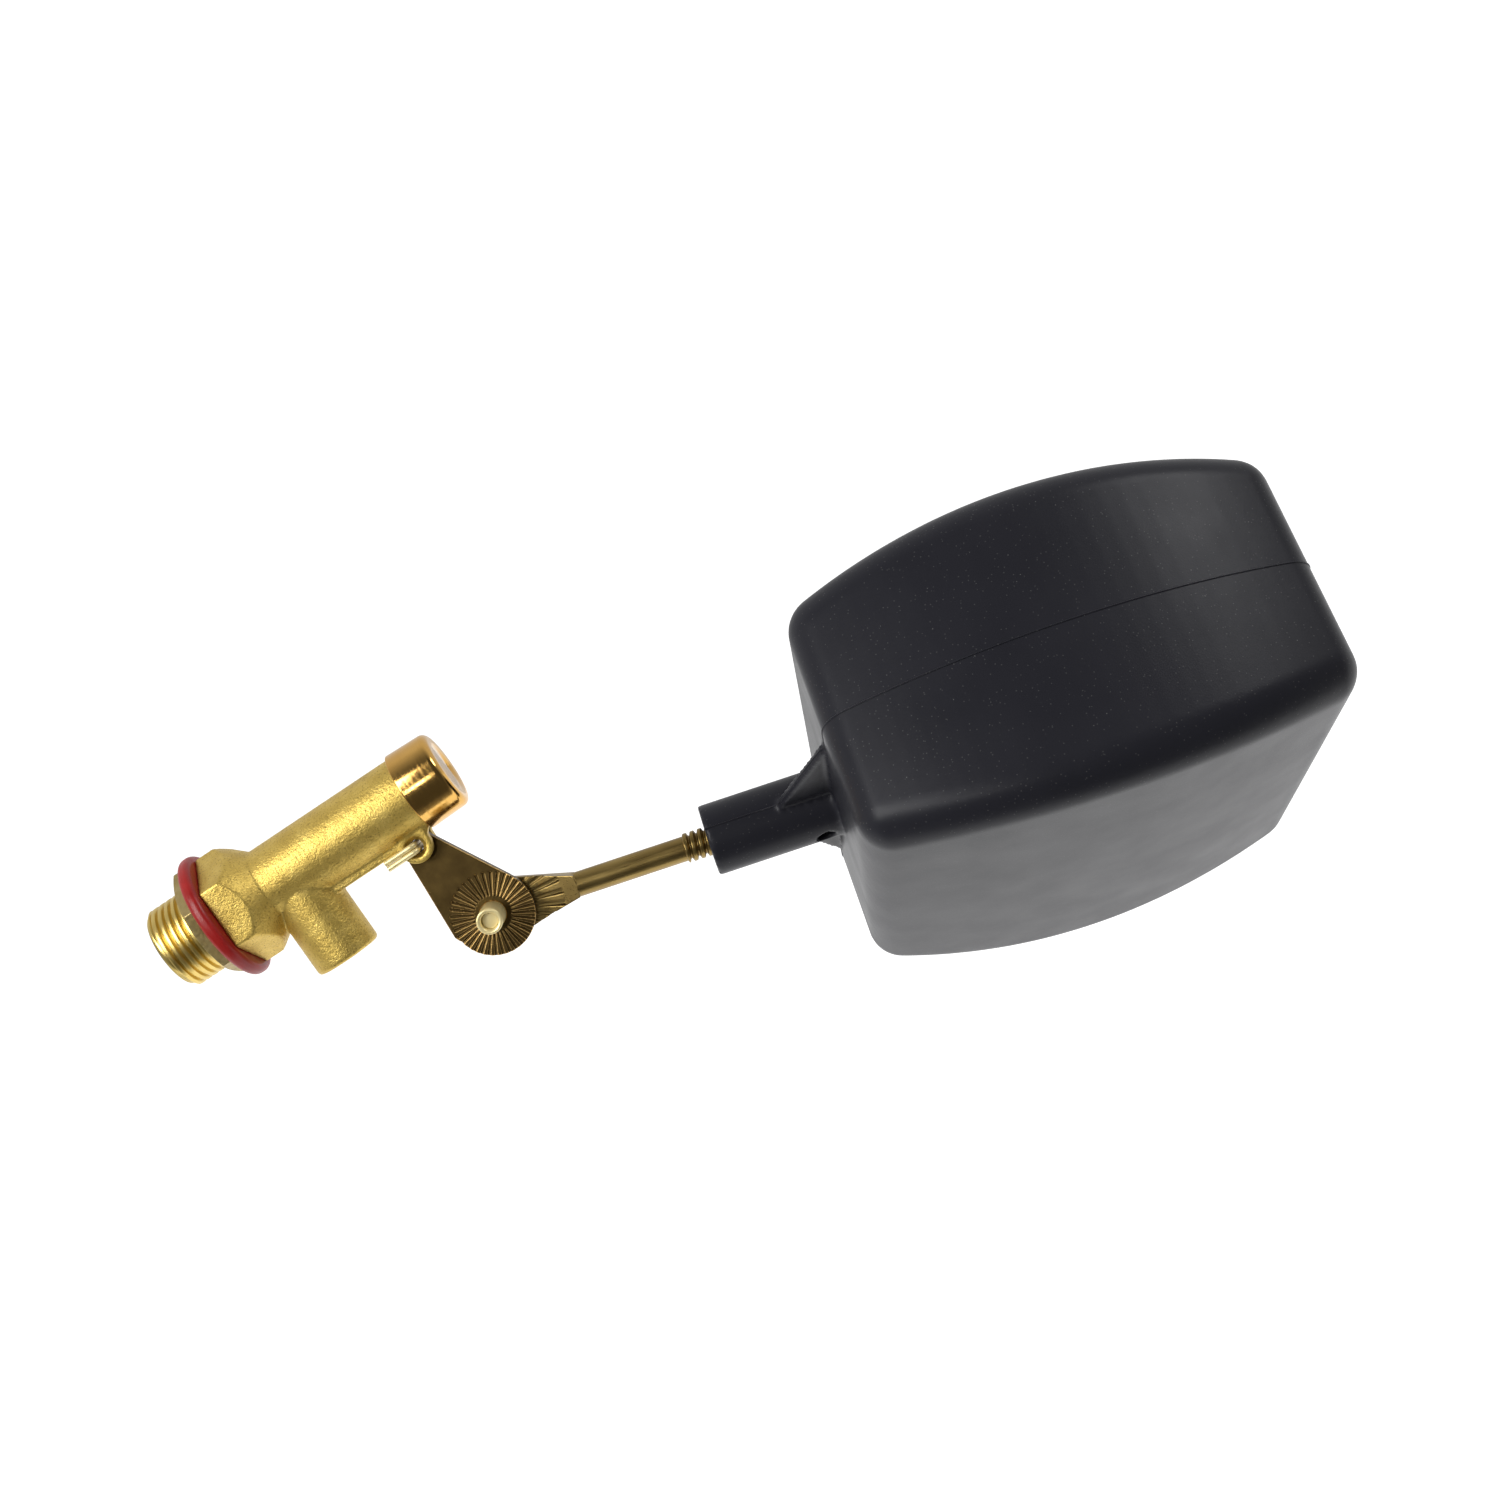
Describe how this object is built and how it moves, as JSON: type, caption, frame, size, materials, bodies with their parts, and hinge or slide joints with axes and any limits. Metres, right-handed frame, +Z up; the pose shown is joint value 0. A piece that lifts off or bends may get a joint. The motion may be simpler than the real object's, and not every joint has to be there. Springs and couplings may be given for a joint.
{
  "type": "float valve",
  "caption": "Brass tank valve with a down-turned outlet, worked by a toothed lever, an adjustable rod and a hollow black plastic float.",
  "frame": {"origin": "centre of the collar face that seals on the tank wall, on the valve's axis", "axes": "+X along the valve from the inlet thread to the end cap, +Z up with the outlet pointing down, Y along the lever's pivot"},
  "size_m": [0.2698, 0.135, 0.1498],
  "materials": {
    "cast_brass": "rough cast, machined thread",
    "nut_brass": "rough cast",
    "red_rubber": "smooth, slightly glossy",
    "cap_brass": "polished orange brass",
    "black_rubber": "matte",
    "turned_brass": "turned",
    "dark_bronze": "dull, oxidised",
    "pale_brass": "bright wire and turned",
    "rod_bronze": "drawn, tarnished",
    "black_plastic": "moulded satin"
  },
  "bodies": {
    "valve": {"valve_body": "cast_brass", "sealing_washer": "red_rubber", "end_cap": "cap_brass", "cotter_pin": "pale_brass"},
    "locknut": {"mounting_locknut": "nut_brass"},
    "plunger": {"plunger": "turned_brass", "seat_disc": "black_rubber"},
    "lever": {"lever_plate": "dark_bronze", "clinch_nut": "pale_brass", "spring_washer": "turned_brass"},
    "clamp_screw": {"clamp_screw": "turned_brass"},
    "arm": {"float_rod": "rod_bronze"},
    "float": {"float_shell": "black_plastic"}
  },
  "joints": [
    {"name": "lever_pivot", "type": "hinge", "parent": "valve", "child": "lever", "pos_m": [0.0457, 0, -0.0115], "axis": [0, -1, 0], "range_deg": [0, 28]},
    {"name": "plunger_slide", "type": "slide", "parent": "valve", "child": "plunger", "axis": [-1, 0, 0], "range_m": [0, 0.00411]},
    {"name": "arm_adjust", "type": "hinge", "parent": "lever", "child": "arm", "pos_m": [0.0511, 0, -0.0351], "axis": [0, -1, 0], "range_deg": [-40, 40]},
    {"name": "clamp_turn", "type": "hinge", "parent": "lever", "child": "clamp_screw", "pos_m": [0.0511, 0, -0.0351], "axis": [0, -1, 0], "continuous": true},
    {"name": "float_turn", "type": "hinge", "parent": "arm", "child": "float", "pos_m": [0.11859, 0.0011, -0.05369], "axis": [0.9641, 0, -0.2656], "continuous": true},
    {"name": "locknut_turn", "type": "hinge", "parent": "valve", "child": "locknut", "pos_m": [-0.0048, 0, 0], "axis": [-1, 0, 0], "continuous": true}
  ],
  "couplings": [
    {"joint": "plunger_slide", "follows": "lever_pivot", "m_per_rad": 0.0084}
  ]
}
